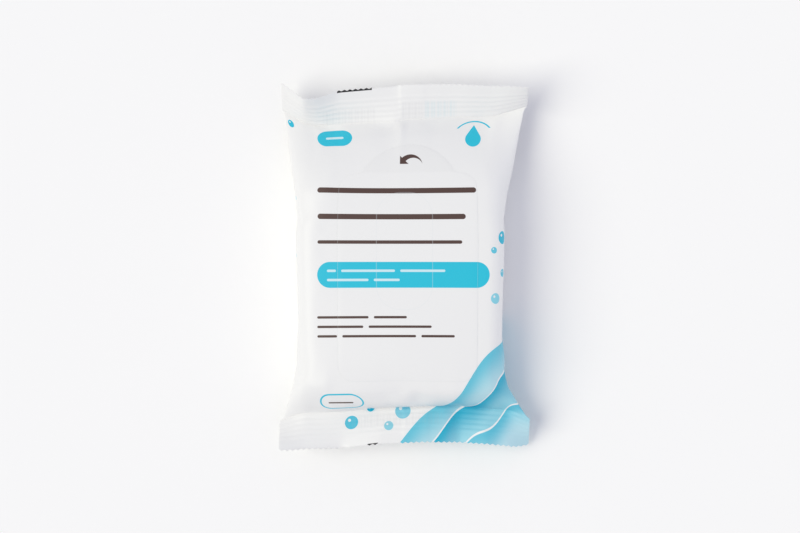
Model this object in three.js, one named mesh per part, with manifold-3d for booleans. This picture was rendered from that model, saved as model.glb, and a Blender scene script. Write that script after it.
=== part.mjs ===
// A sealed flow pack of wet wipes, lying on its back, with a peel-and-reseal label on its top panel.
// Millimetres. +Z is up, +Y points to the end that the label's tab is at, and the origin is on the table
// under the middle of the pack.
import * as THREE from "three";
import { mergeVertices } from "three/addons/utils/BufferGeometryUtils.js";
import Module from "manifold-3d";

const wasm = await Module();
wasm.setup();

// Filled part of the pack, over the folded wipes
const PACK_LENGTH = 142; // cut edge to cut edge
const BODY_WIDTH = 81; // widest, over the side panels
const BODY_HEIGHT = 24; // top panel above the table
const BODY_SHIFT = -1.6; // the wipes lie this far from the middle of the film tube
const SIDE_SQUARENESS = 4.5; // exponent of the section's curve: 2 is an ellipse, more is boxier
const BASE_PRESS = 0.7; // how much of the round underside the table presses flat
const FILM_SLACK = 1.8; // film left over in half the girth

// The film comes together between the wipes and the middle of each end seal
const TOP_TAPER = 30;
const BOTTOM_TAPER = 13;

// Crimped end seals with a pinked edge
const SEAL_DEPTH = 14.2;
const SEAL_THICKNESS = 0.4; // the fused layers, without the ribs
const SEAL_LEVEL = 10.5; // height of the seals above the table
const RIB_COUNT = 6;
const RIB_HEIGHT = 0.35;
const TOOTH_PITCH = 2.1;
const TOOTH_DEPTH = 0.6;
const TRIM = 0.3; // film past the teeth's tips, which the pinking knife takes off

// How the seals lie: corners that curl, a fold near the top seal's left end, a slow wave
const CURL_LENGTH = 26; // the corners curl over this length of the seal
const TOP_CURL = { left: 42, right: 58 }; // degrees at the corner, upward
const BOTTOM_CURL = { left: 38, right: -42 };
const EAR_INSET = 9.5; // the fold's ridge, from the seal's left end
const EAR_HALF_WIDTH = 8;
const EAR_TILT = 28; // degrees at the ridge, added to the corner's curl
const EAR_LIFT = 2.5; // height of the ridge
const WAVE_HEIGHT = 0.7;
const WAVE_LENGTH = 62;
const TOP_BOW = 1.6; // the wipes' height draws the middle of a seal in by this much from its ends
const BOTTOM_BOW = 4;

// Fin seal along the back, folded flat to one side
const FIN_WIDTH = 10;
const FIN_THICKNESS = 0.35;
const FIN_FOLD = -1; // the fold's place across the back
const FIN_STEP = 0.2; // width of the step at the fin's two edges
const FIN_TENT = 2.5; // the film rises to the fin's edge over this width

// Reseal label, with a finger tab at its top end
const LABEL_WIDTH = 53;
const LABEL_SHIFT = 1.2; // from the middle of the film tube
const LABEL_TO_TOP_SEAL = 9.6; // from the tab's tip
const LABEL_TO_BOTTOM_SEAL = 13.5;
const LABEL_CORNER = 6;
const LABEL_THICKNESS = 0.12;
const ADHESIVE = 0.05; // clear gap between film and label
const TAB_HEIGHT = 12;
const TAB_FILLET = 3; // where the tab runs into the label's shoulder
const TAB_SHOULDER = 0.5; // straight stretch between the fillet and the label's corner

// Fineness of the faceted surface
const PANEL_COLUMNS = 30; // across one panel of the film tube
const CURVE_STEPS = 120; // along half a section, to measure its length
const TAPER_ROW = 3.2; // longest row along the tapers
const BODY_ROW = 11; // longest row along the straight part
const ROWS_PER_RIB = 2;
const OUTLINE_STEPS = 10; // along each arc of the label's outline
const SAME_COLUMN = 0.8; // an even column this near one of the fin's is left out
const CUT_MARGIN = 5; // cutters reach this far past what they cut

// Colours and roughness
const FILM = { color: 0xf2f2f3, roughness: 0.45 };
const LABEL = { color: 0xe9eaec, roughness: 0.3 };

const END = { bottom: -1, top: 1 };
const SIDE = { back: -1, top: 1 };
const { degToRad, lerp: mix, clamp } = THREE.MathUtils;

// Numbers at even steps, both ends included
function steps(from, to, count) {
  return Array.from({ length: count + 1 }, (_, i) => mix(from, to, i / count));
}

// Even steps, none longer than the longest
function shortSteps(from, to, longest) {
  return steps(from, to, Math.ceil((to - from) / longest));
}

// Share of the rise of half a section, for an offset of -1 to 1 across it. At no fullness the section
// is a flat lens with sharp edges, and at full it is a rounded box.
function riseShare(offset, fullness) {
  const squareness = mix(2, SIDE_SQUARENESS, fullness);
  const power = mix(1, 1 / squareness, fullness);
  return Math.max(0, 1 - Math.abs(offset) ** squareness) ** power;
}

// Half a section as points from left to right, pressed flat at its limit
function halfSection(halfWidth, rise, fullness, limit) {
  return Array.from({ length: CURVE_STEPS + 1 }, (_, step) => {
    const offset = -Math.cos((Math.PI * step) / CURVE_STEPS);
    const height = Math.min(rise * riseShare(offset, fullness), limit);
    return new THREE.Vector2(offset * halfWidth, height);
  });
}

// Length of a row of points up to each of them
function runningLength(points) {
  const sums = [0];
  for (let i = 1; i < points.length; i++) {
    sums.push(sums[i - 1] + points[i].distanceTo(points[i - 1]));
  }
  return sums;
}

// Flat width of the film tube: half the girth of the filled section, and the slack
const upperHalf = halfSection(BODY_WIDTH / 2, BODY_HEIGHT - SEAL_LEVEL, 1, Infinity);
const lowerHalf = halfSection(BODY_WIDTH / 2, SEAL_LEVEL + BASE_PRESS, 1, SEAL_LEVEL);
const TUBE_WIDTH = (runningLength(upperHalf).at(-1) + runningLength(lowerHalf).at(-1)) / 2 + FILM_SLACK;
const tubeHalf = TUBE_WIDTH / 2;

// A soft hump, 1 at its middle and 0 past its half width
function hump(distance, halfWidth) {
  return Math.cos((Math.PI / 2) * clamp(distance / halfWidth, -1, 1)) ** 2;
}

// Angle that a seal is turned up from the level, at a place across it
function sealTilt(end, across) {
  const curl = end === END.top ? TOP_CURL : BOTTOM_CURL;
  const share = clamp((Math.abs(across) - tubeHalf + CURL_LENGTH) / CURL_LENGTH, 0, 1);
  const corner = (across < 0 ? curl.left : curl.right) * share ** 2;
  const ear = end === END.top ? EAR_TILT * hump(across + tubeHalf - EAR_INSET, EAR_HALF_WIDTH) : 0;
  return degToRad(corner + ear);
}

// A seal's middle line at a place across it: how far it is bowed out, its height and its tilt
function sealLine(end, across) {
  const bow = end === END.top ? TOP_BOW : BOTTOM_BOW;
  const ear = end === END.top ? EAR_LIFT * hump(across + tubeHalf - EAR_INSET, EAR_HALF_WIDTH) : 0;
  const wave = WAVE_HEIGHT * Math.sin((2 * Math.PI * across) / WAVE_LENGTH + (end * Math.PI) / 4);
  return {
    bow: bow * (across / tubeHalf) ** 2,
    z: SEAL_LEVEL + wave + ear,
    tilt: sealTilt(end, across),
  };
}

// Distance of a seal's middle line from the pack's middle, so that its outermost point is at the pack's end
function sealDistance(end) {
  const reaches = steps(-tubeHalf, tubeHalf, CURVE_STEPS).map((across) => {
    const line = sealLine(end, across);
    return line.bow + (SEAL_DEPTH / 2) * Math.cos(line.tilt);
  });
  return PACK_LENGTH / 2 - Math.max(...reaches);
}

// Stations along the pack, as distances from its middle
const sealMiddle = { [END.bottom]: sealDistance(END.bottom), [END.top]: sealDistance(END.top) };
const innerTop = sealMiddle[END.top] - SEAL_DEPTH / 2;
const innerBottom = sealMiddle[END.bottom] - SEAL_DEPTH / 2;
const bodyTop = innerTop - TOP_TAPER;
const bodyBottom = innerBottom - BOTTOM_TAPER;

// A point on a seal's middle surface, across it and outward from its inner edge
function sealPoint(end, across, outward) {
  const { bow, z, tilt } = sealLine(end, across);
  const fromMiddle = outward - SEAL_DEPTH / 2;
  const distance = sealMiddle[end] + bow + fromMiddle * Math.cos(tilt);
  return { y: end * distance, z: z + fromMiddle * Math.sin(tilt), tilt };
}

// Height of the crimp's ribs, a triangle wave
function rib(outward) {
  const phase = (outward * RIB_COUNT) / SEAL_DEPTH;
  return RIB_HEIGHT * (2 * Math.abs(phase - Math.round(phase)) - 0.5);
}

function onFin(across) {
  return across >= FIN_FOLD && across <= FIN_FOLD + FIN_WIDTH;
}

// A point of the film in an end seal
function sealFilm(end, across, outward, side) {
  const middle = sealPoint(end, across, outward);
  const fin = side === SIDE.back && onFin(across) ? FIN_THICKNESS : 0;
  const offset = (side * SEAL_THICKNESS) / 2 + rib(outward) - fin;
  const y = middle.y - end * offset * Math.sin(middle.tilt);
  return new THREE.Vector3(across, y, middle.z + offset * Math.cos(middle.tilt));
}

// Height of the back film: the fin stands out of it, and on the table the film tents up to the fin
function backHeight(across, z) {
  if (onFin(across)) return Math.max(z - FIN_THICKNESS, 0);
  const gap = Math.max(FIN_FOLD - across, across - FIN_FOLD - FIN_WIDTH);
  return Math.max(z, FIN_THICKNESS * clamp(1 - gap / FIN_TENT, 0, 1));
}

// Where a place on the film, measured across the flat tube, comes to lie on half a section
function placeOnSection(points, across) {
  const sums = runningLength(points);
  const target = sums.at(-1) * Math.min((across + tubeHalf) / TUBE_WIDTH, 1);
  const next = Math.max(sums.findIndex((sum) => sum >= target), 1);
  const share = (target - sums[next - 1]) / (sums[next] - sums[next - 1]);
  return points[next - 1].clone().lerp(points[next], share);
}

// A point of the film between the seals
function bodyFilm(y, across, side) {
  const end = y > (bodyTop - bodyBottom) / 2 ? END.top : END.bottom;
  const [inner, taper] = end === END.top ? [innerTop, TOP_TAPER] : [innerBottom, BOTTOM_TAPER];
  const fullness = clamp((inner - end * y) / taper, 0, 1);
  const swell = Math.sin((fullness * Math.PI) / 2);
  const halfWidth = mix(tubeHalf, BODY_WIDTH / 2, fullness);
  const rise = side === SIDE.top ? BODY_HEIGHT - SEAL_LEVEL : SEAL_LEVEL + BASE_PRESS * fullness;
  const limit = side === SIDE.top ? Infinity : SEAL_LEVEL;
  const place = placeOnSection(halfSection(halfWidth, rise * swell, fullness, limit), across);
  const skin = (SEAL_THICKNESS / 2) * (1 - swell);
  const height = Math.max(place.y + skin, SEAL_THICKNESS / 2);
  const edge = sealPoint(end, across, 0);
  const z = Math.max(mix(edge.z, SEAL_LEVEL, swell) + side * height, 0);
  const filmY = y + (edge.y - end * inner) * (1 - swell);
  return new THREE.Vector3(
    place.x + BODY_SHIFT * fullness,
    filmY,
    side === SIDE.back ? backHeight(across, z) : z,
  );
}

// Places across the tube: even columns, and the edges of the fin and of the film tented over it
function filmColumns() {
  const finEdges = [FIN_FOLD - FIN_STEP, FIN_FOLD, FIN_FOLD + FIN_WIDTH, FIN_FOLD + FIN_WIDTH + FIN_STEP];
  const tents = [FIN_FOLD - FIN_TENT, FIN_FOLD + FIN_WIDTH + FIN_TENT];
  const special = [...finEdges, ...tents];
  const even = steps(-tubeHalf, tubeHalf, PANEL_COLUMNS);
  const kept = even.filter((x) => special.every((edge) => Math.abs(x - edge) > SAME_COLUMN));
  return [...kept, ...special].sort((a, b) => a - b);
}

// Rows along the pack, from past the bottom seal's cut edge to past the top seal's
function filmRows() {
  const outwards = [...steps(0, SEAL_DEPTH, RIB_COUNT * ROWS_PER_RIB).slice(0, -1), SEAL_DEPTH + TRIM];
  const seal = (end) => outwards.map((outward) => (x, side) => sealFilm(end, x, outward, side));
  const stations = [
    ...shortSteps(-innerBottom, -bodyBottom, TAPER_ROW).slice(1),
    ...shortSteps(-bodyBottom, bodyTop, BODY_ROW).slice(1),
    ...shortSteps(bodyTop, innerTop, TAPER_ROW).slice(1, -1),
  ];
  const body = stations.map((y) => (x, side) => bodyFilm(y, x, side));
  return [...seal(END.bottom).reverse(), ...body, ...seal(END.top)];
}

// A closed skin through loops that each run left to right over the top and back underneath
function loft(loops) {
  const count = loops[0].length;
  const panel = count / 2;
  const index = [];
  const at = (row, i) => row * count + (i % count);
  for (let row = 0; row + 1 < loops.length; row++) {
    for (let i = 0; i < count; i++) {
      const [a, b, c, d] = [at(row, i), at(row, i + 1), at(row + 1, i + 1), at(row + 1, i)];
      // both panels are split along the same diagonal, so offset skins stay parallel
      if (i < panel) index.push(a, b, c, a, c, d);
      else index.push(a, b, d, b, c, d);
    }
  }
  const last = loops.length - 1;
  for (let i = 0; i + 1 < panel; i++) {
    const [over, nextOver, nextUnder, under] = [i, i + 1, count - 2 - i, count - 1 - i];
    index.push(at(0, over), at(0, under), at(0, nextUnder), at(0, over), at(0, nextUnder), at(0, nextOver));
    index.push(at(last, over), at(last, nextOver), at(last, nextUnder));
    index.push(at(last, over), at(last, nextUnder), at(last, under));
  }
  const points = loops.flat().flatMap((point) => point.toArray());
  const geometry = new THREE.BufferGeometry();
  geometry.setAttribute("position", new THREE.Float32BufferAttribute(points, 3));
  geometry.setIndex(index);
  return geometry;
}

function solidFrom(geometry) {
  geometry.deleteAttribute("normal");
  geometry.deleteAttribute("uv");
  const merged = mergeVertices(geometry);
  return new wasm.Manifold(
    new wasm.Mesh({
      numProp: 3,
      vertProperties: merged.getAttribute("position").array,
      triVerts: new Uint32Array(merged.index.array),
    }),
  );
}

function geometryFrom(solid) {
  const mesh = solid.getMesh();
  const geometry = new THREE.BufferGeometry();
  geometry.setAttribute("position", new THREE.BufferAttribute(mesh.vertProperties, 3));
  geometry.setIndex(new THREE.BufferAttribute(mesh.triVerts, 1));
  geometry.computeVertexNormals();
  return geometry;
}

// An upright prism that reaches past the pack, above and below
function prism(shape) {
  const depth = BODY_HEIGHT + SEAL_DEPTH + 2 * CUT_MARGIN;
  const options = { depth, bevelEnabled: false, curveSegments: OUTLINE_STEPS };
  return solidFrom(new THREE.ExtrudeGeometry(shape, options).translate(0, 0, -CUT_MARGIN));
}

// What the pinking knife takes off a seal's cut edge
function pinking(end) {
  const teeth = 2 * Math.ceil(tubeHalf / TOOTH_PITCH) + 2;
  const reach = (teeth * TOOTH_PITCH) / 2;
  const edge = steps(-reach, reach, 2 * teeth).map((x, i) => {
    const y = sealPoint(end, clamp(x, -tubeHalf, tubeHalf), SEAL_DEPTH).y;
    return new THREE.Vector2(x, y - end * (i % 2) * TOOTH_DEPTH);
  });
  const outside = end * (PACK_LENGTH / 2 + CUT_MARGIN);
  const corners = [new THREE.Vector2(reach, outside), new THREE.Vector2(-reach, outside)];
  return prism(new THREE.Shape([...edge, ...corners]));
}

// Outline of the label, anticlockwise from its bottom left corner
function labelOutline() {
  const half = LABEL_WIDTH / 2;
  const inner = half - LABEL_CORNER;
  const foot = LABEL_TO_BOTTOM_SEAL - innerBottom;
  const tip = innerTop - LABEL_TO_TOP_SEAL;
  const shoulder = tip - TAB_HEIGHT;
  const filletX = inner - TAB_SHOULDER;
  const filletY = shoulder + TAB_FILLET;
  const tabRadius = (filletX ** 2 + TAB_HEIGHT ** 2) / (2 * TAB_HEIGHT) - TAB_FILLET;
  const meeting = Math.atan2(filletY - (tip - tabRadius), filletX);
  const down = -Math.PI / 2;
  const x = (offset) => LABEL_SHIFT + offset;
  return new THREE.Shape()
    .absarc(x(-inner), foot + LABEL_CORNER, LABEL_CORNER, -Math.PI, down)
    .absarc(x(inner), foot + LABEL_CORNER, LABEL_CORNER, down, 0)
    .absarc(x(inner), shoulder - LABEL_CORNER, LABEL_CORNER, 0, Math.PI / 2)
    .absarc(x(filletX), filletY, TAB_FILLET, down, meeting - Math.PI, true)
    .absarc(x(0), tip - tabRadius, tabRadius, meeting, Math.PI - meeting)
    .absarc(x(-filletX), filletY, TAB_FILLET, -meeting, down, true)
    .absarc(x(-inner), shoulder - LABEL_CORNER, LABEL_CORNER, Math.PI / 2, Math.PI);
}

// The film pack with what it holds, one sealed solid
function sealedPack(rows, columns) {
  const back = columns.toReversed();
  const loops = rows.map((film) => [
    ...columns.map((x) => film(x, SIDE.top)),
    ...back.map((x) => film(x, SIDE.back)),
  ]);
  return solidFrom(loft(loops)).subtract(pinking(END.bottom)).subtract(pinking(END.top));
}

// The label: a thin skin parallel to the top panel, cut to its outline
function resealLabel(rows, columns) {
  const above = (film, x, gap) => film(x, SIDE.top).add(new THREE.Vector3(0, 0, gap));
  const back = columns.toReversed();
  const loops = rows.map((film) => [
    ...columns.map((x) => above(film, x, ADHESIVE + LABEL_THICKNESS)),
    ...back.map((x) => above(film, x, ADHESIVE)),
  ]);
  return solidFrom(loft(loops)).intersect(prism(labelOutline()));
}

function piece(name, solid, finish) {
  const material = new THREE.MeshStandardMaterial({ ...finish, metalness: 0 });
  const mesh = new THREE.Mesh(geometryFrom(solid), material);
  mesh.name = name;
  return mesh;
}

const rows = filmRows();
const columns = filmColumns();
const pack = new THREE.Group();
pack.add(piece("sealed_pack", sealedPack(rows, columns), FILM));
pack.add(piece("reseal_label", resealLabel(rows, columns), LABEL));

export default pack;
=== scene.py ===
"""A sealed flow pack of wet wipes, lying on its back on a pale table and seen from above.

The wrapper is one tube of film. Its two crimped end seals are shaped from given keys, and the film between
them is a cloth simulation that starts from a plain loft and settles round the folded wipes.
"""

import functools
import math

import bmesh
import bpy
import numpy as np
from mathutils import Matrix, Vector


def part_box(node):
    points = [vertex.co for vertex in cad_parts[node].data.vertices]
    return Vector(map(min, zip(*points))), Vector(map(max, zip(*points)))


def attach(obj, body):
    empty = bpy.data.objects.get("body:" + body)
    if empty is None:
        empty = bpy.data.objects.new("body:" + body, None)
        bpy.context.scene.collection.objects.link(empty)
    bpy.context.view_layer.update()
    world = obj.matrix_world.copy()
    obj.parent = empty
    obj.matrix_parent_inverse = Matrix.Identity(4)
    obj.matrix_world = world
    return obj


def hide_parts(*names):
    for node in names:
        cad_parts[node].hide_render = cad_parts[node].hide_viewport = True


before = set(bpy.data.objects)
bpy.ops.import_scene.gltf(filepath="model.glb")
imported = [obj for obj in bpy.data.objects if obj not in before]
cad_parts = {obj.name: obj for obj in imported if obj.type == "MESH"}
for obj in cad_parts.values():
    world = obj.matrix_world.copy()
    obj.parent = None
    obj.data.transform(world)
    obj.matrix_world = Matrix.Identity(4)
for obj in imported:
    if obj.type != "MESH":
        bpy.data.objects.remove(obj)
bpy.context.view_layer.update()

MM = 0.001
PACK_LOW, PACK_HIGH = (np.array(corner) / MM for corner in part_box("sealed_pack"))

# Film tube, in millimetres
TUBE_WIDTH = PACK_HIGH[0] - PACK_LOW[0]
HALF = TUBE_WIDTH / 2
SEAL_DEPTH = 14.2
SEAL_LEVEL = 10.5
LAYER_GAP = 0.14  # from a seal's middle surface to each of its layers
SHARP_ANGLE = 60  # degrees; a steeper edge counts as sharp

# Crimping and cut of the end seals
RIB_COUNT = 5
RIB_HEIGHT = 0.17
RIB_ROWS = 6
RIB_ZONE = 10.2  # from the inner edge; the rest is smooth
SMOOTH_ROWS = 6
TOOTH_DEPTH = 0.55
TOOTH_COLUMNS = 4
CUT_STRIP = 0.8  # along the cut edge

# Fin seal along the back, folded over to the right
FIN_LEFT = -1.0
FIN_RIGHT = 9.0
FIN_THICKNESS = 0.14
FIN_GAP = 0.03
FIN_COLUMNS = 41
FIN_CRIMP = 0.05
FIN_PITCH = 1.25
FIN_STEP = 0.16  # how far it lifts the end seals
FIN_STEP_RISE = 2.0  # length from the inner edge over which that lift grows
FIN_FOLD_SOFTNESS = 0.3
FIN_EDGE_SOFTNESS = 1.0

# Folded wipes inside the film
STACK_WIDTH = 78.4
STACK_TAPER = 1.0  # wider at the top end and narrower at the bottom end, on each side
STACK_TOP_END = 28.5
STACK_BOTTOM_END = -47.0
STACK_HEIGHT = 23.2
STACK_CORNER = 16.0
STACK_CORNER_STEPS = 6
STACK_ROUNDING = 6.0
STACK_ROUNDING_STEPS = 8
STACK_SHIFT = -1.6
STACK_BASE = 0.4
ROOM_ABOVE = 0.8
ROOM_BESIDE = 1.6
FILM_TOP = STACK_HEIGHT + ROOM_ABOVE
FILM_SIDE = STACK_WIDTH / 2 + ROOM_BESIDE

# How each seal lies, read off the photograph from left to right: place across the film, tilt in degrees,
# distance of its middle line from the pack's middle, height above the seals' level, droop of its cut edge
TOP_SEAL = [
    (-49, 45, 66.2, -2.0, 0),
    (-38.5, 52, 60.4, 0.8, 0),
    (-33.5, 45, 59.9, 0.0, 0),
    (-25, 27, 61.8, -0.4, 0),
    (-2.2, 10, 63.1, 0.5, 0),
    (-0.2, 13, 63.8, 0.6, 0),
    (19, 24, 64.4, 0.2, 0),
    (35, 36, 64.2, 1.0, 0),
    (49, 64, 65.6, 4.6, 0),
]
BOTTOM_SEAL = [
    (-49, 45, 65.4, 0.6, 1.0),
    (-40, 16, 63.8, 0.8, 1.5),
    (-25.5, 4, 63.6, 0.2, 1.6),
    (-23.5, 5, 63.4, 0.2, 0),
    (-10, 16, 62.0, 0.8, 0),
    (8, 10, 61.2, 0.9, 0),
    (15.5, 8, 61.3, 0.7, 0),
    (20.8, 4, 61.4, -1.3, 0),
    (32, 14, 62.1, 0.4, 0),
    (40, 6, 62.8, -0.8, 0),
    (49, -42, 64.4, -3.4, 0),
]
FOLD_SOFTNESS = 1.1  # how far the seals' folds are rounded
FOLD_SPACING = 0.25  # between the places where the seals' folds are worked out
LEAST_RUN = 0.05  # least square of how far a fold runs across for each millimetre of film
DROOP_START = 0.8  # share of a seal's depth where its droop begins

# Puckers, the small ridges and dents that run from the seals into the panels: seal, panel (1 top, -1 back),
# place across the film, height, half width and reach. The first two are where the fin meets the top seal.
PUCKERS = [
    ("top", 1, -0.5, 1.3, 1.8, 8),
    ("top", 1, -6.5, -1.2, 4.0, 8),
    ("top", 1, -27, -1.0, 3.2, 9),
    ("top", 1, -33, 0.7, 1.8, 9),
    ("top", 1, 13, -0.7, 3.5, 6),
    ("top", 1, 31, -0.7, 3.4, 8),
    ("top", 1, 37, 0.7, 2.4, 9),
    ("top", -1, -18, 0.8, 2.6, 8),
    ("top", -1, 22, 0.9, 2.4, 9),
    ("bottom", 1, -36, -0.9, 3.0, 7),
    ("bottom", 1, -29, 0.7, 1.8, 6),
    ("bottom", 1, -5.5, -1.2, 2.4, 6),
    ("bottom", 1, 0, 0.7, 2.0, 6),
    ("bottom", 1, 15, -1.0, 2.6, 7),
    ("bottom", 1, 21, 0.9, 1.9, 7),
    ("bottom", 1, 29, -1.1, 2.8, 7),
    ("bottom", 1, 36, 0.9, 1.8, 7),
    ("bottom", -1, -24, 0.9, 2.4, 9),
    ("bottom", -1, 26, 0.8, 2.6, 8),
]
PUCKER_START = 3.0  # over this length from the seal they rise

# Section of the filled tube: the exponent of its outline, flat and full, and how many points it has
FLAT_SECTION = 2.0
FULL_SECTION = 4.5
SECTION_POINTS = 121

# Fineness of the simulated film and of the finished film
SIM_COLUMNS = 74  # across one panel
SIM_ROW = 1.33
SIM_FRAMES = 30
SIM_UNIT = 0.01  # the simulation's length for a millimetre
FILM_DRAW = 0.965  # flat film length over the length of the loft that the simulation starts from
TABLE_GAP = 0.3  # room for the fin under the film
START_STEPS = 400
EASING = 2  # turns of smoothing everywhere
IRONING = 60  # turns of smoothing under the label, which stiffens the film
IRON_EDGE = 5.0
FILM_COLUMNS = 184  # across one panel
FILM_ROW = 1.0
SEAM_COLUMN = FILM_COLUMNS + round((HALF - (FIN_LEFT + FIN_RIGHT) / 2) / TUBE_WIDTH * FILM_COLUMNS)

# The film as cloth, and what it meets
CLOTH = {
    "quality": 8,
    "mass": 0.2,
    "tension_stiffness": 60,
    "compression_stiffness": 60,
    "shear_stiffness": 30,
    "bending_stiffness": 40.0,
    "tension_damping": 8,
    "compression_damping": 8,
    "shear_damping": 8,
    "air_damping": 2,
    "use_pressure": True,
    "uniform_pressure_force": 5.0,
}
CLOTH_GRAVITY = 0.1
CONTACT = 0.2
CONTACT_STEPS = 4
SELF_CONTACT = 0.15
GRIP = 5
TABLE_BLOCK = 4.0  # in the simulation's own units

# Reseal label on the top panel, placed on the flat film from the bottom seal's inner edge
LABEL_WIDTH = 53.1
LABEL_MIDDLE = 2.8
LABEL_FOOT = 18.5
LABEL_TIP = 108.3
LABEL_CORNER = 6.0
LABEL_THICKNESS = 0.08
LABEL_RIM = 1.2  # the label thins out over this width
LABEL_RIM_SHARE = 0.2  # of the thickness at its edge
LABEL_ROWS = 121
LABEL_COLUMNS = 61
LABEL_TIP_HALF = 0.4
ADHESIVE = 0.05
TAB_HEIGHT = 12.0
TAB_FILLET = 3.0
TAB_SHOULDER = 0.5
TAB_SHADE = 0.025
TAB_SHADE_EDGE = 1.0
WINDOW = (-9.0, 45.3, 12.2, 89.0)
WINDOW_CORNER = 9.0
# The label's cut lines are real; drawing them part way to a pale blue grey is a painted highlight where the
# cut edges catch the light
CUT_LINE = 0.35
CUT_HIGHLIGHT_SHARE = 0.2
CUT_HIGHLIGHT_COLOUR = (0.74, 0.79, 0.81)
CUT_PAST_TAB = 20.0  # the outline's line runs on past the tab, so that none crosses it

# Print, placed on the flat film: across from the front's middle, along from the bottom seal's inner edge
CYAN = (0.014, 0.54, 0.71)
PALE = (0.62, 0.83, 0.88)
BROWN = (0.085, 0.046, 0.036)
INK = (0.012, 0.011, 0.012)
BLACK = (0.0, 0.0, 0.0)
PRINT_EDGE = 0.05
PILL = (-31.4, 53.4, 33.8, 63.0)
PILL_BARS = [
    (59.7, (-27.7, -24.3), (-22.3, -2), (0, 17)),
    (56.3, (-27.7, -12), (-10, -0.2)),
]
PILL_BAR = 0.9
BADGE = (-34.1, 108.6, -19.9, 116.6)
BADGE_BARS = [(112.6, (-30.6, -23.4))]
BADGE_BAR = 1.1
TITLE_BARS = [
    (89.7, (-31.8, 29)),
    (79.9, (-31.3, 24.8)),
]
TITLE_BAR = 2.0
SUBTITLE_BARS = [(70.4, (-31.2, 23.4))]
SUBTITLE_BAR = 1.3
SMALL_BARS = [
    (42.5, (-31.5, -12), (-10, 2.5)),
    (39, (-31.5, -14), (-12, 11.9)),
    (35.5, (-31.5, -24), (-22, 6), (8, 20.7)),
    (8.6, (-30, -20)),
]
SMALL_BAR = 0.9
TAG = (-33.1, 4.0, -16.1, 13.4)
TAG_LINE = 0.7
DROP_PLACE = (28.5, 110.0)
DROP_RADIUS = 3.2
DROP_STEEPNESS = 1.7
ARC_RADIUS = 8.0
ARC_WIDTH = 0.6
ARC_START = 4.8
ARROW_CORNER = (-0.6, 100.2)
ARROW_HEAD = 3.4
ARROW_OVERLAP = 0.3
ARROW_OUTER = (3.5, 99.2, 4.87)
ARROW_INNER = (4.6, 98.65, 3.97)
WAVES = [
    {"from": -12, "to": 54, "low": -17, "high": 40, "ripple": 2.2, "length": 27, "phase": 0.4,
     "fade": 16, "pale": (0.5, 0.75, 0.82), "deep": (0.12, 0.55, 0.7)},
    {"from": -2, "to": 60, "low": -18, "high": 30, "ripple": 1.8, "length": 21, "phase": 2.2,
     "fade": 14, "pale": (0.3, 0.65, 0.76), "deep": (0.01, 0.42, 0.6)},
    {"from": 12, "to": 66, "low": -20, "high": 18, "ripple": 1.5, "length": 17, "phase": 4.4,
     "fade": 14, "pale": (0.5, 0.76, 0.84), "deep": (0.1, 0.52, 0.68)},
]
WAVE_GAP = 0.9
BUBBLES = [
    (39.6, 72, 2.3, (0.02, 0.5, 0.68)),
    (35.4, 67.4, 1.2, (0.12, 0.58, 0.73)),
    (40.2, 59, 1.5, (0.12, 0.58, 0.73)),
    (36.4, 49.5, 2.0, (0.25, 0.66, 0.78)),
    (-45.6, 116.2, 1.5, (0.02, 0.5, 0.68)),
    (-43.6, 87, 0.8, (0.3, 0.68, 0.8)),
    (-43.4, 65.5, 0.8, (0.3, 0.68, 0.8)),
    (-43.2, 44, 0.7, (0.3, 0.68, 0.8)),
    (-21, -4.5, 2.6, (0.06, 0.53, 0.7)),
    (-13.5, 0.5, 1.5, (0.02, 0.5, 0.68)),
    (-6.5, -7, 1.8, (0.25, 0.63, 0.75)),
    (-1, -1.5, 3.0, (0.2, 0.6, 0.74)),
]
GLINT = (-0.3, 0.35, 0.22)  # place and radius, as shares of the bubble's radius
GREY = (0.42, 0.42, 0.47)
SHOW_THROUGH = [
    ((9, 121, 20.7, 127), CYAN),
    ((0, 121, 7.6, 127), GREY),
    ((-30.8, 120.6, -10.8, 126), GREY),
    ((-24, -6.5, 14, -2.5), GREY),
]
SHOW_SHARE = 0.13
SHOW_LOW = 0.35  # share of it that is left between the stripes
SHOW_PITCH = 2.3
SHOW_FINER = 1.85
SHOW_CONTRAST = 0.8
SHOW_CORNER = 0.4
SHOW_SOFTNESS = 0.9
CUT_MARKS = [(-25.3, 133.4, -11.8, 136), (-14.7, -15, -10.6, -13.5)]
MARK_CORNER = 0.05
BACK_PITCH = 2.6
BACK_LINE = 0.8
BACK_RAGGED = 7.0
BACK_SHUFFLE = 0.618
BACK_CORNER = 0.1
BACK_BLOCKS = [(63, 47, 88, 104), (-92, 14, -64, 104)]

# Finish, light and camera
FILM_COLOUR = (0.868, 0.868, 0.859)
FILM_ROUGHNESS = 0.4
FILM_GLOSS = 0.5
LABEL_ROUGHNESS = 0.3
FLOOR_COLOUR = (0.952, 0.952, 0.952)
FLOOR_ROUGHNESS = 1.0
FLOOR_GLOSS = 0.0
FLOOR_SIZE = 6.0
SKY_COLOUR = (0.945, 0.955, 1.09)
SKY_LEVEL = 0.6
TABLE_WINDOW = {"level": 1.79, "colour": (1.02, 1.0, 0.83), "spread": 46, "height": 45, "turn": 6}
PACK_WINDOW = {"level": 1.4, "colour": (1.02, 1.0, 0.83), "spread": 50, "height": 53, "turn": 4}
PACK_CARD = {"level": 0.5, "colour": (1, 1, 1), "spread": 60, "height": 14, "turn": 195}
CAMERA_PLACE = (-0.00175, 0, 0.95)
CAMERA_LENS = 108.9
CAMERA_SENSOR = 36.0

ENDS = {"bottom": (BOTTOM_SEAL, -1), "top": (TOP_SEAL, 1)}


def smoothed(values, spacing, softness):
    """A row of numbers with its corners rounded over a length."""
    reach = int(3 * softness / spacing) + 1
    offsets = np.arange(-reach, reach + 1) * spacing
    weights = np.exp(-0.5 * (offsets / softness) ** 2)
    padded = np.pad(values, reach, mode="reflect", reflect_type="odd")
    return np.convolve(padded, weights / weights.sum(), mode="valid")


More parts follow.
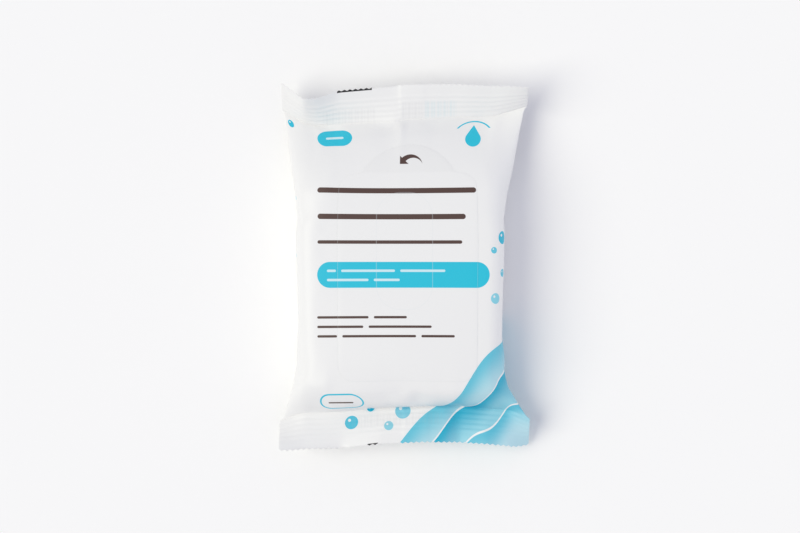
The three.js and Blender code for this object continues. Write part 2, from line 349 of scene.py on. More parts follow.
def ramp(values, start, end):
    """0 before the start, 1 after the end, and a smooth rise between."""
    share = np.clip((values - start) / (end - start), 0, 1)
    return share * share * (3 - 2 * share)


class Seal:
    """One end seal: a strip of fused film, as a function of the place across and outward."""

    def __init__(self, keys, sign):
        self.sign = sign
        self.across = np.arange(-HALF, HALF + FOLD_SPACING / 2, FOLD_SPACING)
        places, *columns = np.array(keys, float).T
        folded = [np.interp(self.across, places, column) for column in columns]
        tilt, out, lift, droop = (smoothed(values, FOLD_SPACING, FOLD_SOFTNESS) for values in folded)
        self.tilt = np.radians(tilt)
        self.out = out
        self.height = SEAL_LEVEL + lift
        self.droop = droop
        slope = np.gradient(out, self.across) ** 2 + np.gradient(lift, self.across) ** 2
        run = np.sqrt(np.clip(1 - slope, LEAST_RUN, 1))
        x = np.concatenate([[0], np.cumsum((run[1:] + run[:-1]) / 2 * FOLD_SPACING)])
        self.x = x - (x[0] + x[-1]) / 2

    def points(self, across, outward, offset=0.0):
        """Points at places across and outward from the inner edge, offset from the middle surface."""
        at = functools.partial(np.interp, across, self.across)
        tilt = at(self.tilt)
        from_middle = outward - SEAL_DEPTH / 2
        bend = np.clip(outward / SEAL_DEPTH - DROOP_START, 0, 1) / (1 - DROOP_START)
        rise = offset - at(self.droop) * bend ** 2
        out = at(self.out) + from_middle * np.cos(tilt) - rise * np.sin(tilt)
        z = at(self.height) + from_middle * np.sin(tilt) + rise * np.cos(tilt)
        return np.stack(np.broadcast_arrays(at(self.x), self.sign * out, z), axis=-1)


SEALS = {name: Seal(*facts) for name, facts in ENDS.items()}


def tube_columns(panel):
    """Places across the film and the side, 1 for the top panel and -1 for the back, once round the tube."""
    top = np.linspace(-HALF, HALF, panel + 1)
    across = np.concatenate([top, top[-2:0:-1]])
    side = np.concatenate([[0], np.ones(panel - 1), [0], -np.ones(panel - 1)])
    return across, side


def half_section(half_width, rise, fullness):
    """Half a section of the filled tube as points, from a flat lens to a rounded box."""
    offset = -np.cos(np.linspace(0, math.pi, SECTION_POINTS))
    squareness = FLAT_SECTION + (FULL_SECTION - FLAT_SECTION) * fullness
    power = 1 + (1 / squareness - 1) * fullness
    height = rise * np.clip(1 - np.abs(offset) ** squareness, 0, 1) ** power
    return offset * half_width, height


def along(xs, heights, share):
    """Points at shares of a line's length."""
    lengths = np.concatenate([[0], np.cumsum(np.hypot(np.diff(xs), np.diff(heights)))])
    places = share * lengths[-1]
    return np.interp(places, lengths, xs), np.interp(places, lengths, heights)


def taper(y):
    """The nearer seal, its inner edge, and how full the section is at a place along the pack."""
    middle = (STACK_TOP_END + STACK_BOTTOM_END) / 2
    name = "top" if y > middle else "bottom"
    seal = SEALS[name]
    inner = float(seal.points(0.0, 0.0)[1])
    stack_end = STACK_TOP_END if name == "top" else STACK_BOTTOM_END
    return seal, inner, float(np.clip((inner - y) / (inner - stack_end), 0, 1))


def start_row(y, across, side):
    """A loop of the film before the simulation: a plain loft between the seals."""
    seal, inner, fullness = taper(y)
    swell = math.sin(fullness * math.pi / 2)
    half_width = HALF + (FILM_SIDE - HALF) * fullness
    edge = seal.points(across, 0.0)
    share = (across + HALF) / TUBE_WIDTH
    level = edge[:, 2] + (SEAL_LEVEL - edge[:, 2]) * swell
    rows = np.zeros((len(across), 3))
    for sign, rise in ((1, FILM_TOP - SEAL_LEVEL), (-1, SEAL_LEVEL)):
        x, height = along(*half_section(half_width, rise * swell, fullness), share)
        chosen = side == sign if sign == 1 else side <= 0
        z = np.maximum(level + sign * np.maximum(height, LAYER_GAP * np.abs(side)), TABLE_GAP)
        wide = x + STACK_SHIFT * fullness + (edge[:, 0] - across) * (1 - swell)
        loop = np.stack([wide, y + (edge[:, 1] - inner) * (1 - swell), z], axis=-1)
        rows[chosen] = loop[chosen]
    return rows


def start_stations():
    """Places along the pack at even lengths of film over the top panel, and that length."""
    low = float(SEALS["bottom"].points(0.0, 0.0)[1])
    high = float(SEALS["top"].points(0.0, 0.0)[1])
    fine = np.linspace(low, high, START_STEPS)
    middle = np.array([start_row(y, np.array([0.0]), np.array([1.0]))[0] for y in fine])
    lengths = np.concatenate([[0], np.cumsum(np.linalg.norm(np.diff(middle, axis=0), axis=1))])
    count = round(lengths[-1] / SIM_ROW)
    return np.interp(np.linspace(0, lengths[-1], count + 1), lengths, fine), lengths[-1]


def grid_faces(rows, columns):
    """Quads of a tube of loops, with their faces outward."""
    first = np.arange(rows - 1)[:, None] * columns + np.arange(columns)
    second = np.arange(rows - 1)[:, None] * columns + (np.arange(columns) + 1) % columns
    return np.stack([first, second, second + columns, first + columns], axis=-1).reshape(-1, 4)


def new_object(name, points, faces):
    mesh = bpy.data.meshes.new(name)
    mesh.from_pydata(points.reshape(-1, 3).tolist(), [], [list(face) for face in faces])
    mesh.update()
    piece = bpy.data.objects.new(name, mesh)
    bpy.context.scene.collection.objects.link(piece)
    return piece


def collider(piece):
    piece.modifiers.new("collision", "COLLISION")
    piece.collision.thickness_outer = CONTACT * SIM_UNIT
    piece.collision.cloth_friction = GRIP
    return piece


def rounded(shape, edges, radius, segments):
    """Rounds some of a block's edges."""
    bmesh.ops.bevel(
        shape, geom=edges, offset=radius * SIM_UNIT, segments=segments, profile=0.5, affect="EDGES"
    )


def in_order(faces):
    """Faces in one order on every run, each from its lowest point on. A bevel leaves them by chance."""
    starts = [face.index(min(face)) for face in faces]
    return sorted(face[start:] + face[:start] for face, start in zip(faces, starts))


def stack_collider():
    """The folded wipes as a rounded block, in the simulation's units."""
    size = np.array([STACK_WIDTH, STACK_TOP_END - STACK_BOTTOM_END, STACK_HEIGHT])
    centre = np.array([STACK_SHIFT, (STACK_TOP_END + STACK_BOTTOM_END) / 2, STACK_HEIGHT / 2 + STACK_BASE])
    shape = bmesh.new()
    bmesh.ops.create_cube(shape, size=SIM_UNIT)
    bmesh.ops.scale(shape, vec=size, verts=shape.verts)
    bmesh.ops.translate(shape, vec=centre * SIM_UNIT, verts=shape.verts)
    upright = [edge for edge in shape.edges if abs(edge.verts[0].co.z - edge.verts[1].co.z) > SIM_UNIT]
    rounded(shape, upright, STACK_CORNER, STACK_CORNER_STEPS)
    rim = [edge for edge in shape.edges if edge.calc_face_angle(0) > math.radians(SHARP_ANGLE)]
    rounded(shape, rim, STACK_ROUNDING, STACK_ROUNDING_STEPS)
    for corner in shape.verts:
        side, end = (np.array(corner.co)[:2] / SIM_UNIT - centre[:2]) / (size[:2] / 2)
        corner.co.x += STACK_TAPER * SIM_UNIT * side * end
    shape.verts.index_update()
    points = np.array([corner.co for corner in shape.verts])
    faces = [[corner.index for corner in face.verts] for face in shape.faces]
    shape.free()
    return collider(new_object("stack", points, in_order(faces)))


def table_collider():
    middle = TABLE_GAP * SIM_UNIT - TABLE_BLOCK / 2
    bpy.ops.mesh.primitive_cube_add(size=TABLE_BLOCK, location=(0, 0, middle))
    return collider(bpy.context.object)


def film_cloth(film, pinned):
    """Gives the film its cloth, with the seals' edges held."""
    group = film.vertex_groups.new(name="held")
    group.add(pinned, 1.0, "ADD")
    cloth = film.modifiers.new("cloth", "CLOTH")
    cloth.settings.vertex_group_mass = group.name
    for name, value in CLOTH.items():
        setattr(cloth.settings, name, value)
    cloth.settings.effector_weights.gravity = CLOTH_GRAVITY
    cloth.collision_settings.distance_min = CONTACT * SIM_UNIT
    cloth.collision_settings.collision_quality = CONTACT_STEPS
    cloth.collision_settings.use_self_collision = True
    cloth.collision_settings.self_distance_min = SELF_CONTACT * SIM_UNIT
    return cloth


def simulated(points, faces, pinned):
    """The film's points after it has settled round the wipes."""
    film = new_object("film_cloth", points * SIM_UNIT, faces)
    cloth = film_cloth(film, pinned)
    helpers = [stack_collider(), table_collider()]
    scene = bpy.context.scene
    cloth.point_cache.frame_start = 1
    cloth.point_cache.frame_end = SIM_FRAMES
    for number in range(1, SIM_FRAMES + 1):
        scene.frame_set(number)
    settled = film.evaluated_get(bpy.context.evaluated_depsgraph_get()).data
    flat = np.zeros(len(settled.vertices) * 3)
    settled.vertices.foreach_get("co", flat)
    for piece in [film, *helpers]:
        bpy.data.objects.remove(piece)
    scene.frame_set(1)
    return flat.reshape(-1, 3) / SIM_UNIT


def body_film():
    """The film between the seals as loops of points, and its length."""
    across, side = tube_columns(SIM_COLUMNS)
    stations, loft_length = start_stations()
    length = loft_length * FILM_DRAW
    loops = np.array([start_row(y, across, side) for y in stations])
    for row, name in ((0, "bottom"), (-1, "top")):
        loops[row] = SEALS[name].points(across, 0.0, LAYER_GAP * side)
    rows, columns = loops.shape[:2]
    pinned = [*range(columns), *range((rows - 1) * columns, rows * columns)]
    return simulated(loops, grid_faces(rows, columns), pinned).reshape(loops.shape), length


def smooth_film(loops, share, turns):
    """Evens the film out, as far as the share says at each point, with its ends held."""
    for _ in range(turns):
        near = (np.roll(loops, 1, axis=1) + 2 * loops + np.roll(loops, -1, axis=1)) / 4
        near[1:-1] = (near[:-2] + 2 * near[1:-1] + near[2:]) / 4
        loops[1:-1] += (share * (near - loops))[1:-1]
    return loops


def eased(loops, length):
    """The film with its smallest creases eased, and smoother where the label stiffens it."""
    across, side = tube_columns(SIM_COLUMNS)
    places = np.linspace(0, length, len(loops))[:, None]
    beside = np.abs(across - LABEL_MIDDLE) - LABEL_WIDTH / 2
    past = np.abs(places - (LABEL_FOOT + LABEL_TIP) / 2) - (LABEL_TIP - LABEL_FOOT) / 2
    under = (1 - ramp(np.maximum(beside, past), -IRON_EDGE, IRON_EDGE)) * (side > 0)
    return smooth_film(smooth_film(loops, 1.0, EASING), under[..., None], IRONING)


def resampled(values, places):
    """Values along the first axis at fractional places, on a smooth curve through them."""
    base = np.clip(places.astype(int), 0, len(values) - 2)
    part = (places - base)[:, None, None]
    steps = [np.clip(base + step, 0, len(values) - 1) for step in (-1, 0, 1, 2)]
    before, here, after, beyond = (values[step] for step in steps)
    bend = 2 * before - 5 * here + 4 * after - beyond
    twist = 3 * (here - after) + beyond - before
    return here + 0.5 * part * (after - before + part * (bend + part * twist))


def fine_body():
    """The film between the seals on the finished film's grid, and its length."""
    loops, length = body_film()
    loops = eased(loops, length)
    wrapped = np.concatenate([loops[:, -2:], loops, loops[:, :3]], axis=1)
    columns = 2 + np.arange(2 * FILM_COLUMNS) * SIM_COLUMNS / FILM_COLUMNS
    rows = np.linspace(0, len(loops) - 1, round(length / FILM_ROW) + 1)
    wide = np.swapaxes(resampled(np.swapaxes(wrapped, 0, 1), columns), 0, 1)
    return resampled(wide, rows), length


def seal_rows(name, across, side):
    """A seal's crimped rows from its inner edge to its pinked cut, and how far outward each point is."""
    fold = ramp(across, FIN_LEFT - FIN_FOLD_SOFTNESS, FIN_LEFT + FIN_FOLD_SOFTNESS)
    edge = ramp(across, FIN_RIGHT - FIN_EDGE_SOFTNESS, FIN_RIGHT + FIN_EDGE_SOFTNESS)
    tooth = np.abs(np.arange(len(across)) % TOOTH_COLUMNS - TOOTH_COLUMNS / 2) / (TOOTH_COLUMNS / 2)
    cut = SEAL_DEPTH - TOOTH_DEPTH * tooth
    crimped = np.linspace(0, RIB_ZONE, RIB_COUNT * RIB_ROWS + 1)
    smooth = np.linspace(RIB_ZONE, SEAL_DEPTH - CUT_STRIP, SMOOTH_ROWS)[1:]
    outward = [np.full_like(across, out) for out in (*crimped, *smooth)] + [cut]
    rows = []
    for out in outward:
        turns = RIB_COUNT * np.clip(out / RIB_ZONE, 0, 1)
        rib = RIB_HEIGHT * (0.5 - 0.5 * np.cos(2 * math.pi * turns))
        lift = FIN_STEP * (fold - edge) * ramp(out, 0, FIN_STEP_RISE)
        rows.append(SEALS[name].points(across, out, LAYER_GAP * side + rib + lift))
    return np.array(rows), np.array(outward)


class Film:
    """The finished film as loops of points, with each point's place along the flat film."""

    def __init__(self):
        self.across, self.side = tube_columns(FILM_COLUMNS)
        body, self.length = fine_body()
        bottom, below = seal_rows("bottom", self.across, self.side)
        top, above = seal_rows("top", self.across, self.side)
        rows = np.linspace(0, self.length, len(body))[1:-1, None] * np.ones(len(self.across))
        self.along = np.concatenate([-below[::-1], rows, self.length + above])
        self.points = np.concatenate([bottom[::-1], body[1:-1], top])
        self.points[..., 2] += self.puckers()
        self.normals = self.grid_normals()

    def puckers(self):
        """How far the puckers lift each point."""
        lift = np.zeros_like(self.along)
        for seal, panel, place, height, width, reach in PUCKERS:
            from_seal = self.along if seal == "bottom" else self.length - self.along
            fade = np.exp(-np.clip(from_seal, 0, None) / reach) * ramp(from_seal, 0, PUCKER_START)
            ridge = np.exp(-((self.across - place) / width) ** 2) * (self.side == panel)
            lift += height * fade * ridge
        return lift

    def grid_normals(self):
        down = np.gradient(self.points, axis=0)
        wide = np.roll(self.points, -1, axis=1) - np.roll(self.points, 1, axis=1)
        normals = np.cross(wide, down)
        return normals / np.maximum(np.linalg.norm(normals, axis=-1, keepdims=True), 1e-9)

    def at(self, across, along, offset, back=False):
        """Points off the film's surface, at places across a panel and along the film."""
        column = (across + HALF) / TUBE_WIDTH * FILM_COLUMNS
        column = 2 * FILM_COLUMNS - column if back else column
        lines = self.along[:, FILM_COLUMNS // 2]
        row = np.interp(along, lines, np.arange(len(lines)))
        low_row = np.clip(row.astype(int), 0, len(lines) - 2)
        low_column = column.astype(int)
        down, right = (row - low_row)[..., None], (column - low_column)[..., None]
        next_column = (low_column + 1) % (2 * FILM_COLUMNS)
        mixed = []
        for grid in (self.points, self.normals):
            near = grid[low_row, low_column] * (1 - right) + grid[low_row, next_column] * right
            far = grid[low_row + 1, low_column] * (1 - right) + grid[low_row + 1, next_column] * right
            mixed.append(near * (1 - down) + far * down)
        return mixed[0] + mixed[1] * np.expand_dims(offset, -1)


def moved_faces(faces, first, flip):
    """Faces counted on from a first point, and turned over where asked."""
    return [[first + corner for corner in (face[::-1] if flip else face)] for face in faces]


def cap_faces(columns, row, flip):
    """Faces that close the film's cut edge between its two layers."""
    half = columns // 2
    faces = [(k, k + 1, columns - k - 1, columns - k) for k in range(1, half - 1)]
    faces = [(0, 1, columns - 1), *faces, (half - 1, half, half + 1)]
    return moved_faces(faces, row * columns, flip)


def set_corners(piece, corners):
    """Lays the piece's flat layout down as its texture map, one place for each face corner."""
    layer = piece.data.uv_layers.new(name="OFBake")
    layer.data.foreach_set("uv", np.ascontiguousarray(corners, dtype=np.float32).ravel())


def corner_points(piece):
    """The point that each face corner sits on."""
    numbers = np.zeros(len(piece.data.loops), dtype=np.int32)
    piece.data.loops.foreach_get("vertex_index", numbers)
    return numbers


def skin_uv(piece, flat):
    """The flat layout of a skin, the same for its outer and its inner side."""
    both = np.concatenate([flat, flat[:, ::-1]], axis=1).reshape(-1, 2)
    set_corners(piece, both[corner_points(piece)])


def unrolled(columns):
    """Where each column lies across the unrolled film, which is parted under the fin."""
    rolled = np.where(columns > SEAM_COLUMN, columns - 2 * FILM_COLUMNS, columns)
    return (rolled - SEAM_COLUMN - 1) / (2 * FILM_COLUMNS) + 1


def film_uv(piece, film):
    """The film unrolled: round the tube across the layout, and along the pack up the layout."""
    rows, columns = film.points.shape[:2]
    numbers = corner_points(piece)
    column = numbers % columns
    quads = 4 * (rows - 1) * columns
    column[quads:] = np.minimum(column[quads:], (columns - column[quads:]) % columns)
    u = unrolled(column)
    over_seam = u[:quads].reshape(-1, columns, 4)
    over_seam[:, SEAM_COLUMN, 1:3] = 1
    v = (film.along.ravel()[numbers] + SEAL_DEPTH) / (film.length + 2 * SEAL_DEPTH)
    set_corners(piece, np.stack([u, v], axis=-1))


def wrapper(film):
    rows, columns = film.points.shape[:2]
    caps = [*cap_faces(columns, 0, True), *cap_faces(columns, rows - 1, False)]
    piece = new_object("wrapper", film.points * MM, [*grid_faces(rows, columns), *caps])
    film_uv(piece, film)
    finish_mesh(piece)
    return piece


def finish_mesh(piece):
    piece.data.shade_smooth()
    piece.data.set_sharp_from_angle(angle=math.radians(SHARP_ANGLE))


def skin(name, outer, inner):
    """A thin closed solid between two grids of points, the first one the outer side."""
    rows, columns = outer.shape[:2]
    loops = np.concatenate([outer, inner[:, ::-1]], axis=1)
    faces = [*grid_faces(rows, 2 * columns)]
    for row, flip in ((0, True), (rows - 1, False)):
        strip = [(k, k + 1, 2 * columns - k - 2, 2 * columns - k - 1) for k in range(columns - 1)]
        faces += moved_faces(strip, row * 2 * columns, flip)
    piece = new_object(name, loops * MM, faces)
    finish_mesh(piece)
    return piece


def fin(film):
    """The folded fin seal along the back, with its lengthwise crimp lines."""
    places = np.linspace(FIN_LEFT, FIN_RIGHT, FIN_COLUMNS)
    lines = film.along[:, FILM_COLUMNS // 2]
    across, rows = np.meshgrid(places, lines)
    crimp = FIN_CRIMP * np.cos(2 * math.pi * (across - FIN_LEFT) / FIN_PITCH)
    near = film.at(across, rows, np.full_like(across, FIN_GAP), back=True)
    far = film.at(across, rows, FIN_GAP + FIN_THICKNESS - FIN_CRIMP + crimp, back=True)
    far[..., 2] = np.maximum(far[..., 2], 0.0)  # the table stops it
    piece = skin("fin", far[:, ::-1], near[:, ::-1])
    shares = np.meshgrid(np.linspace(1, 0, len(places)), np.linspace(0, 1, len(lines)))
    skin_uv(piece, np.stack(shares, axis=-1))
    return piece


def label_half_width(along):
    """Half the label's width at places along the film: rounded foot and shoulders, and a domed tab."""
    inner = LABEL_WIDTH / 2 - LABEL_CORNER
    shoulder = LABEL_TIP - TAB_HEIGHT
    fillet_x = inner - TAB_SHOULDER
    dome = (fillet_x ** 2 + TAB_HEIGHT ** 2) / (2 * TAB_HEIGHT) - TAB_FILLET
    corner = np.maximum(LABEL_FOOT + LABEL_CORNER - along, along - shoulder + LABEL_CORNER)
    sides = inner + np.sqrt(np.clip(LABEL_CORNER ** 2 - np.clip(corner, 0, None) ** 2, 0, None))
    arch = np.sqrt(np.clip(dome ** 2 - (along - LABEL_TIP + dome) ** 2, 0, None))
    above = along - shoulder - TAB_FILLET
    fillet = fillet_x - np.sqrt(np.clip(TAB_FILLET ** 2 - above ** 2, 0, None))
    tab = np.where(along < shoulder + TAB_FILLET, np.maximum(arch, fillet), arch)
    return np.where(along <= shoulder, sides, tab)


def label(film):
    """The reseal label: a thin skin on the film, cut to its outline."""
    length = LABEL_TIP - LABEL_FOOT
    places = LABEL_FOOT + length * (1 - np.cos(np.linspace(0, math.pi, LABEL_ROWS))) / 2
    half = np.maximum(label_half_width(places), LABEL_TIP_HALF)[:, None]
    shares = np.linspace(-1, 1, LABEL_COLUMNS)
    across = LABEL_MIDDLE + half * shares
    along_film = np.broadcast_to(places[:, None], across.shape)
    inner = film.at(across, along_film, np.full_like(across, ADHESIVE))
    from_ends = np.minimum(places - LABEL_FOOT, LABEL_TIP - places)[:, None]
    from_rim = np.minimum(half * (1 - np.abs(shares)), from_ends)
    thickness = LABEL_THICKNESS * np.clip(from_rim / LABEL_RIM, LABEL_RIM_SHARE, 1)
    outer = film.at(across, along_film, ADHESIVE + thickness)
    piece = skin("label", outer, inner)
    left = LABEL_MIDDLE - LABEL_WIDTH / 2
    flat = [(across - left) / LABEL_WIDTH, (along_film - LABEL_FOOT) / length]
    skin_uv(piece, np.stack(flat, axis=-1))
    return piece


class Paint:
    """Adds nodes to a new material and hands on their results."""

    def __init__(self, name, roughness):
        self.material = bpy.data.materials.new(name)
        self.material.use_nodes = True
        self.nodes = self.material.node_tree.nodes
        self.shader = self.nodes["Principled BSDF"]
        self.shader.inputs["Roughness"].default_value = roughness

    def node(self, kind, inputs, **settings):
        """A new node with its settings, and its inputs fed by numbers or by other nodes."""
        node = self.nodes.new("ShaderNode" + kind)
        for name, value in settings.items():
            setattr(node, name, value)
        for socket, value in inputs.items():
            self.feed(node.inputs[socket], value)
        return node

    def feed(self, socket, value):
        if isinstance(value, bpy.types.NodeSocket):
            self.material.node_tree.links.new(value, socket)
        else:
            socket.default_value = value

    def math(self, operation, *values):
        return self.node("Math", dict(enumerate(values)), operation=operation).outputs[0]

    def vector(self, operation, *values):
        node = self.node("VectorMath", dict(enumerate(values)), operation=operation)
        return node.outputs["Value" if operation in ("LENGTH", "DISTANCE") else "Vector"]

    def ramp(self, value, start, end, low=0.0, high=1.0, kind="SMOOTHSTEP"):
        inputs = {0: value, 1: start, 2: end, 3: low, 4: high}
        return self.node("MapRange", inputs, interpolation_type=kind).outputs[0]

    def inside(self, distance, edge=PRINT_EDGE):
        """1 inside a shape and 0 outside, from the distance to its outline."""
        return self.ramp(distance, -edge, edge, 1.0, 0.0, "LINEAR")

    def mix(self, share, under, over):
        """One colour laid over another; sockets 6 and 7 are the node's two colours."""
        inputs = {0: share, 6: under, 7: over}
        for socket in (6, 7):
            if not isinstance(inputs[socket], bpy.types.NodeSocket):
                inputs[socket] = (*inputs[socket], 1)
        return self.node("Mix", inputs, data_type="RGBA").outputs[2]

    def flat_place(self, left, foot, width, length):
        """The place on the flat film in millimetres, from the piece's flat layout."""
        layout = self.node("UVMap", {}, uv_map="OFBake").outputs[0]
        return self.vector("MULTIPLY_ADD", layout, (width, length, 0), (left, foot, 0))

    def box(self, place, left, foot, right, head, radius):
        """Distance to a rounded box."""
        middle = ((left + right) / 2, (foot + head) / 2, 0)
        reach = ((right - left) / 2 - radius, (head - foot) / 2 - radius, 0)
        offset = self.vector("ABSOLUTE", self.vector("SUBTRACT", place, middle))
        beyond = self.vector("MAXIMUM", self.vector("SUBTRACT", offset, reach), (0, 0, 0))
        return self.math("SUBTRACT", self.vector("LENGTH", beyond), radius)

    def disc(self, place, x, y, radius):
        return self.math("SUBTRACT", self.vector("DISTANCE", place, (x, y, 0)), radius)

    def line(self, distance, width):
        """Distance to a line drawn along a shape's outline."""
        return self.math("SUBTRACT", self.math("ABSOLUTE", distance), width / 2)

    def union(self, distances):
        return functools.reduce(lambda one, other: self.math("MINIMUM", one, other), distances)

    def both(self, one, other):
        return self.math("MAXIMUM", one, other)

    def bars(self, place, thickness, rows):
        """Distance to rows of rounded bars, each row a height and the ends of its bars."""
        half = thickness / 2
        return self.union([
            self.box(place, left, height - half, right, height + half, half)
            for height, *ends in rows for left, right in ends
        ])


def wave(paint, x, y, crest):
    """Height above a wave's line: it swells from left to right."""
    swell = paint.ramp(x, crest["from"], crest["to"], crest["low"], crest["high"])
    turns = paint.math("MULTIPLY_ADD", x, 2 * math.pi / crest["length"], crest["phase"])
    ripple = paint.math("MULTIPLY_ADD", paint.math("SINE", turns), crest["ripple"], swell)
    return paint.math("SUBTRACT", y, ripple)


def add_waves(paint, colour, x, y):
    """Waves over the lower right corner, each paler away from its crest."""
    for crest in WAVES:
        height = wave(paint, x, y, crest)
        colour = paint.mix(paint.inside(paint.math("SUBTRACT", height, WAVE_GAP)), colour, FILM_COLOUR)
        tone = paint.mix(paint.ramp(height, -crest["fade"], 0), crest["pale"], crest["deep"])
        colour = paint.mix(paint.inside(height), colour, tone)
    return colour


def add_bubbles(paint, colour, place):
    """Round bubbles with a small glint."""
    right, up, size = GLINT
    for x, y, radius, tone in BUBBLES:
        glint = paint.disc(place, x + right * radius, y + up * radius, size * radius)
        disc = paint.both(paint.disc(place, x, y, radius), paint.math("MULTIPLY", glint, -1))
        colour = paint.mix(paint.inside(disc), colour, tone)
    return colour


def drop(paint, place):
    """Distance to a water drop under a thin arc."""
    offset = paint.vector("SUBTRACT", place, (*DROP_PLACE, 0))
    split = paint.node("SeparateXYZ", {0: offset})
    side, up = paint.math("ABSOLUTE", split.outputs[0]), split.outputs[1]
    steep = paint.math("MULTIPLY_ADD", side, DROP_STEEPNESS, up)
    tip = paint.math("SUBTRACT", steep, DROP_RADIUS * math.hypot(1, DROP_STEEPNESS))
    foot = DROP_RADIUS / math.hypot(1, DROP_STEEPNESS)
    cone = paint.both(tip, paint.math("SUBTRACT", foot, up))
    body = paint.union([paint.disc(place, *DROP_PLACE, DROP_RADIUS), cone])
    ring = paint.line(paint.disc(place, *DROP_PLACE, ARC_RADIUS), ARC_WIDTH)
    arc = paint.both(ring, paint.math("SUBTRACT", ARC_START, up))
    return paint.math("MINIMUM", body, arc)


def peel_arrow(paint, place):
    """Distance to a curved arrow that points to the lower left."""
    split = paint.node("SeparateXYZ", {0: paint.vector("SUBTRACT", place, (*ARROW_CORNER, 0))})
    right, up = split.outputs[0], split.outputs[1]
    reach = paint.math("SUBTRACT", paint.math("ADD", right, up), ARROW_HEAD)
    slant = paint.math("MULTIPLY", reach, math.sqrt(0.5))
    head = paint.both(slant, paint.math("MULTIPLY", paint.math("MINIMUM", right, up), -1))
    hollow = paint.math("MULTIPLY", paint.disc(place, *ARROW_INNER), -1)
    bow = paint.both(paint.disc(place, *ARROW_OUTER), hollow)
    start = paint.both(paint.math("SUBTRACT", -ARROW_OVERLAP, slant), paint.math("MULTIPLY", up, -1))
    return paint.math("MINIMUM", head, paint.both(bow, start))


def show_through(paint, colour, place, x):
    """The back's print as it shows faintly through the seals: soft boxes of uneven stripes."""
    turn = 2 * math.pi / SHOW_PITCH
    coarse = paint.math("SINE", paint.math("MULTIPLY", x, turn))
    fine = paint.math("SINE", paint.math("MULTIPLY", x, SHOW_FINER * turn))
    uneven = paint.math("ADD", coarse, fine)
    stripes = paint.ramp(uneven, -SHOW_CONTRAST, SHOW_CONTRAST, SHOW_LOW * SHOW_SHARE, SHOW_SHARE)
    for ghost, tone in SHOW_THROUGH:
        box = paint.inside(paint.box(place, *ghost, SHOW_CORNER), SHOW_SOFTNESS)
        colour = paint.mix(paint.math("MULTIPLY", box, stripes), colour, tone)
    return colour


def back_lines(paint, place, x, y):
    """Distance to the back's small rows of print, in blocks with a ragged right edge."""
    row = paint.math("FLOOR", paint.math("DIVIDE", y, BACK_PITCH))
    shuffled = paint.math("FRACT", paint.math("MULTIPLY", row, BACK_SHUFFLE))
    reach = paint.math("ADD", x, paint.math("MULTIPLY", shuffled, BACK_RAGGED))
    blocks = [
        paint.both(paint.box(place, *block, BACK_CORNER), paint.math("SUBTRACT", reach, block[2]))
        for block in BACK_BLOCKS
    ]
    within = paint.math("SUBTRACT", paint.math("FLOORED_MODULO", y, BACK_PITCH), BACK_PITCH / 2)
    stripe = paint.math("SUBTRACT", paint.math("ABSOLUTE", within), BACK_LINE / 2)
    return paint.both(stripe, paint.union(blocks))


def printed(paint, place):
    """The film's print as a colour, at places on the flat film."""
    split = paint.node("SeparateXYZ", {0: place})
    x, y = split.outputs[0], split.outputs[1]
    colour = add_waves(paint, FILM_COLOUR, x, y)
    colour = add_bubbles(paint, colour, place)
    colour = show_through(paint, colour, place, x)
    badge = paint.box(place, *BADGE, (BADGE[3] - BADGE[1]) / 2)
    pill = paint.box(place, *PILL, (PILL[3] - PILL[1]) / 2)
    tag = paint.line(paint.box(place, *TAG, (TAG[3] - TAG[1]) / 2), TAG_LINE)
    blue = paint.union([badge, pill, tag, drop(paint, place)])
    colour = paint.mix(paint.inside(blue), colour, CYAN)
    pale = paint.union([
        paint.bars(place, PILL_BAR, PILL_BARS),
        paint.bars(place, BADGE_BAR, BADGE_BARS),
    ])
    colour = paint.mix(paint.inside(pale), colour, PALE)
    brown = paint.union([
        paint.bars(place, TITLE_BAR, TITLE_BARS),
        paint.bars(place, SUBTITLE_BAR, SUBTITLE_BARS),
        paint.bars(place, SMALL_BAR, SMALL_BARS),
        peel_arrow(paint, place),
        back_lines(paint, place, x, y),
    ])
    colour = paint.mix(paint.inside(brown), colour, BROWN)
    marks = paint.union([paint.box(place, *mark, MARK_CORNER) for mark in CUT_MARKS])
    return paint.mix(paint.inside(marks), colour, INK)


def film_paint(film):
    """The printed film's satin finish."""
    paint = Paint("film", FILM_ROUGHNESS)
    pitch = TUBE_WIDTH / FILM_COLUMNS
    left = -HALF - (2 * FILM_COLUMNS - 1 - SEAM_COLUMN) * pitch
    place = paint.flat_place(left, -SEAL_DEPTH, 2 * TUBE_WIDTH, film.length + 2 * SEAL_DEPTH)
    paint.feed(paint.shader.inputs["Base Color"], printed(paint, place))
    return paint.material


def label_paint():
    """The label's glossier finish: the film's print, a greyer tab, and its cut lines with a painted
    highlight where their edges catch the light.
    """
    paint = Paint("label", LABEL_ROUGHNESS)
    left = LABEL_MIDDLE - LABEL_WIDTH / 2
    place = paint.flat_place(left, LABEL_FOOT, LABEL_WIDTH, LABEL_TIP - LABEL_FOOT)
    colour = printed(paint, place)
    height = paint.node("SeparateXYZ", {0: place}).outputs[1]
    shoulder = LABEL_TIP - TAB_HEIGHT
    tab = paint.ramp(height, shoulder, shoulder + TAB_SHADE_EDGE, 0.0, TAB_SHADE)
    colour = paint.mix(tab, colour, BLACK)
    # The cut lines, drawn a fifth of the way to a pale blue grey: real lines with a painted highlight where
    # the cut edges catch the light
    window = paint.line(paint.box(place, *WINDOW, WINDOW_CORNER), CUT_LINE)
    past_tab = LABEL_TIP + CUT_PAST_TAB
    rim = paint.box(place, left, LABEL_FOOT, left + LABEL_WIDTH, past_tab, LABEL_CORNER)
    lines = paint.union([window, paint.line(rim, CUT_LINE)])
    colour = paint.mix(paint.math("MULTIPLY", paint.inside(lines), CUT_HIGHLIGHT_SHARE), colour, CUT_HIGHLIGHT_COLOUR)
    paint.feed(paint.shader.inputs["Base Color"], colour)
    return paint.material


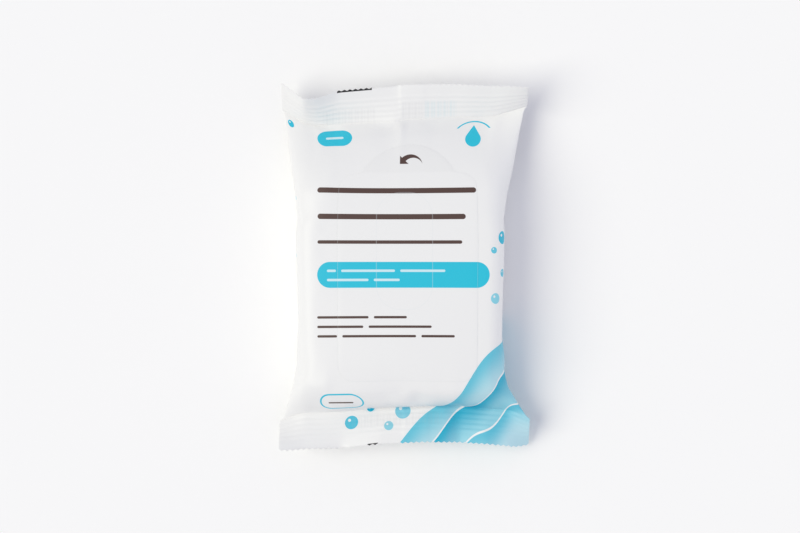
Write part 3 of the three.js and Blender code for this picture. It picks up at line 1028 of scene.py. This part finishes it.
def plain(name, colour, roughness, gloss):
    material = bpy.data.materials.new(name)
    material.use_nodes = True
    shader = material.node_tree.nodes["Principled BSDF"]
    shader.inputs["Base Color"].default_value = (*colour, 1)
    shader.inputs["Roughness"].default_value = roughness
    shader.inputs["Specular IOR Level"].default_value = gloss
    return material


def fin_paint():
    """The film's finish without print."""
    return plain("fin", FILM_COLOUR, FILM_ROUGHNESS, FILM_GLOSS)


def light(name, lit, level, colour, spread, height, turn):
    """A broad distant light on some objects, at degrees above the table and turned from the left."""
    lamp = bpy.data.lights.new(name, "SUN")
    lamp.energy = level
    lamp.color = colour
    lamp.angle = math.radians(spread)
    holder = bpy.data.objects.new(name, lamp)
    holder.rotation_euler = (0, math.radians(height - 90), math.radians(turn))
    bpy.context.scene.collection.objects.link(holder)
    holder.light_linking.receiver_collection = bpy.data.collections.new(name)
    for piece in lit:
        holder.light_linking.receiver_collection.objects.link(piece)


def stage(pieces):
    """A pale table under soft light from the left.

    Light spreads inside the film and the damp wipes and softens their shading, so the pack has a higher
    window than the table, and a pale card at its right.
    """
    bpy.ops.mesh.primitive_plane_add(size=FLOOR_SIZE)
    floor = bpy.context.object
    floor.name = "table"
    floor.data.materials.append(plain("table", FLOOR_COLOUR, FLOOR_ROUGHNESS, FLOOR_GLOSS))
    world = bpy.data.worlds.new("world")
    bpy.context.scene.world = world
    world.use_nodes = True
    background = world.node_tree.nodes["Background"]
    background.inputs["Color"].default_value = (*SKY_COLOUR, 1)
    background.inputs["Strength"].default_value = SKY_LEVEL
    light("table_window", [floor], **TABLE_WINDOW)
    light("pack_window", pieces, **PACK_WINDOW)
    light("pack_card", pieces, **PACK_CARD)


def camera():
    """The photograph's view from straight above."""
    data = bpy.data.cameras.new("camera")
    eye = bpy.data.objects.new("camera", data)
    bpy.context.scene.collection.objects.link(eye)
    eye.location = CAMERA_PLACE
    data.sensor_width = CAMERA_SENSOR
    data.lens = CAMERA_LENS
    bpy.context.scene.camera = eye


def add_piece(piece, node, material):
    piece.data.materials.append(material)
    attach(piece, "root")
    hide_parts(node)
    return piece


def main():
    bpy.context.scene.view_settings.view_transform = "Standard"
    film = Film()
    stage([
        add_piece(wrapper(film), "sealed_pack", film_paint(film)),
        add_piece(fin(film), "sealed_pack", fin_paint()),
        add_piece(label(film), "reseal_label", label_paint()),
    ])
    camera()


main()
